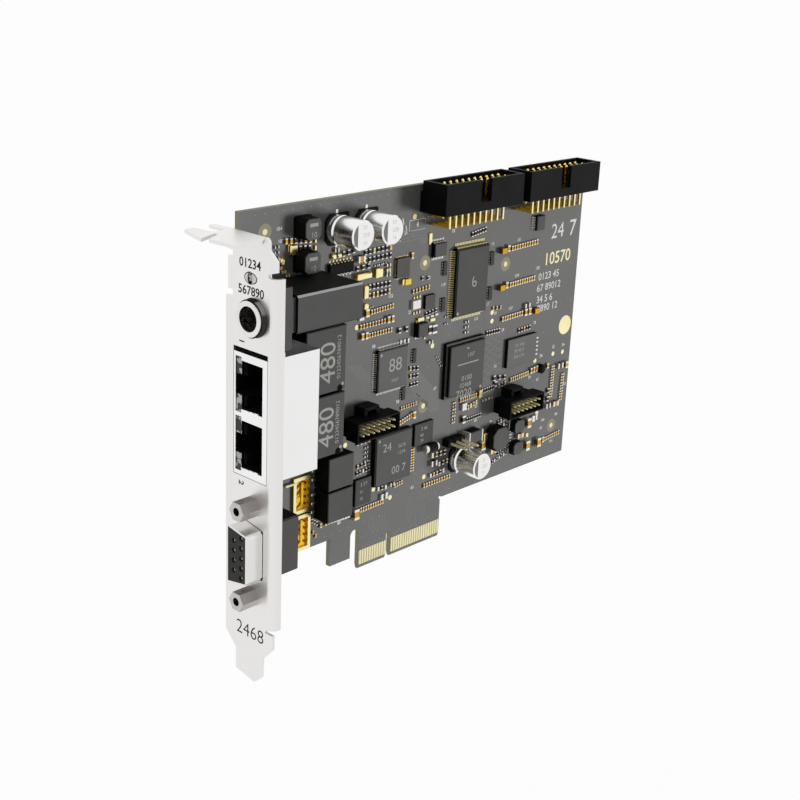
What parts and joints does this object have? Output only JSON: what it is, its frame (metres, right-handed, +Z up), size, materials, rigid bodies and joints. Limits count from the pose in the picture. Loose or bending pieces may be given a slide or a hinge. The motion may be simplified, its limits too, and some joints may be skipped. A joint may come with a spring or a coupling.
{
  "type": "sound card",
  "caption": "Expansion sound card with a steel bracket, phones jack, network jacks, D connector and box headers on a dark circuit board.",
  "frame": {"origin": "middle of the key notch at the bottom of the card edge, in the middle of the board's thickness", "axes": "+X along the card away from the bracket, +Z up away from the card edge, parts stand on the -Y face"},
  "size_m": [0.1558, 0.0215, 0.1244],
  "materials": {
    "board_mask": "matte dark grey solder mask",
    "gold_plate": "gold plated",
    "bracket_steel": "pale satin plated steel",
    "jack_plastic": "black moulded plastic",
    "connector_plastic": "charcoal moulded plastic",
    "bright_metal": "bright nickel",
    "shield_metal": "tinned steel",
    "can_metal": "bright aluminium",
    "chip_plastic": "dark grey moulding compound",
    "module_plastic": "dark grey plastic",
    "light_window": "clear plastic",
    "ceramic": "brown ceramic with tinned ends",
    "ferrite": "black ferrite"
  },
  "bodies": {
    "root": {"circuit_board": "board_mask", "edge_contacts": "gold_plate", "bracket": "bracket_steel", "phones_jack_body": "jack_plastic", "phones_jack_sleeve": "bright_metal", "phones_jack_contacts": "gold_plate", "status_light": "light_window", "network_jack_shield": "shield_metal", "network_jack_housing": "jack_plastic", "network_jack_windows": "light_window", "network_jack_contacts": "gold_plate", "dsub_shell": "bright_metal", "dsub_insulator": "connector_plastic", "dsub_contacts": "gold_plate", "dsub_rear_block": "connector_plastic", "jack_screw_upper": "bright_metal", "jack_screw_lower": "bright_metal", "ground_frames": "gold_plate", "box_header_left_shell": "connector_plastic", "box_header_right_shell": "connector_plastic", "box_header_left_pins": "gold_plate", "box_header_right_pins": "gold_plate", "small_header_left_shell": "connector_plastic", "small_header_right_shell": "connector_plastic", "small_header_left_pins": "gold_plate", "small_header_right_pins": "gold_plate", "pin_header_base": "connector_plastic", "pin_header_pins": "gold_plate", "can_capacitors": "can_metal", "can_bases": "connector_plastic", "network_module_upper": "module_plastic", "network_module_lower": "module_plastic", "isolation_block_upper": "module_plastic", "isolation_block_lower": "module_plastic", "logic_chip": "chip_plastic", "main_memory": "chip_plastic", "small_memories": "chip_plastic", "converter_chip": "chip_plastic", "codec_chip": "chip_plastic", "line_drivers": "chip_plastic", "leadless_chips": "chip_plastic", "power_regulator": "chip_plastic", "oscillator": "bright_metal", "output_inductor": "ferrite", "core_inductors": "ferrite", "filter_inductors": "ferrite", "resistor_networks": "ceramic", "bulk_capacitors": "ceramic", "processor": "chip_plastic"}
  },
  "joints": []
}
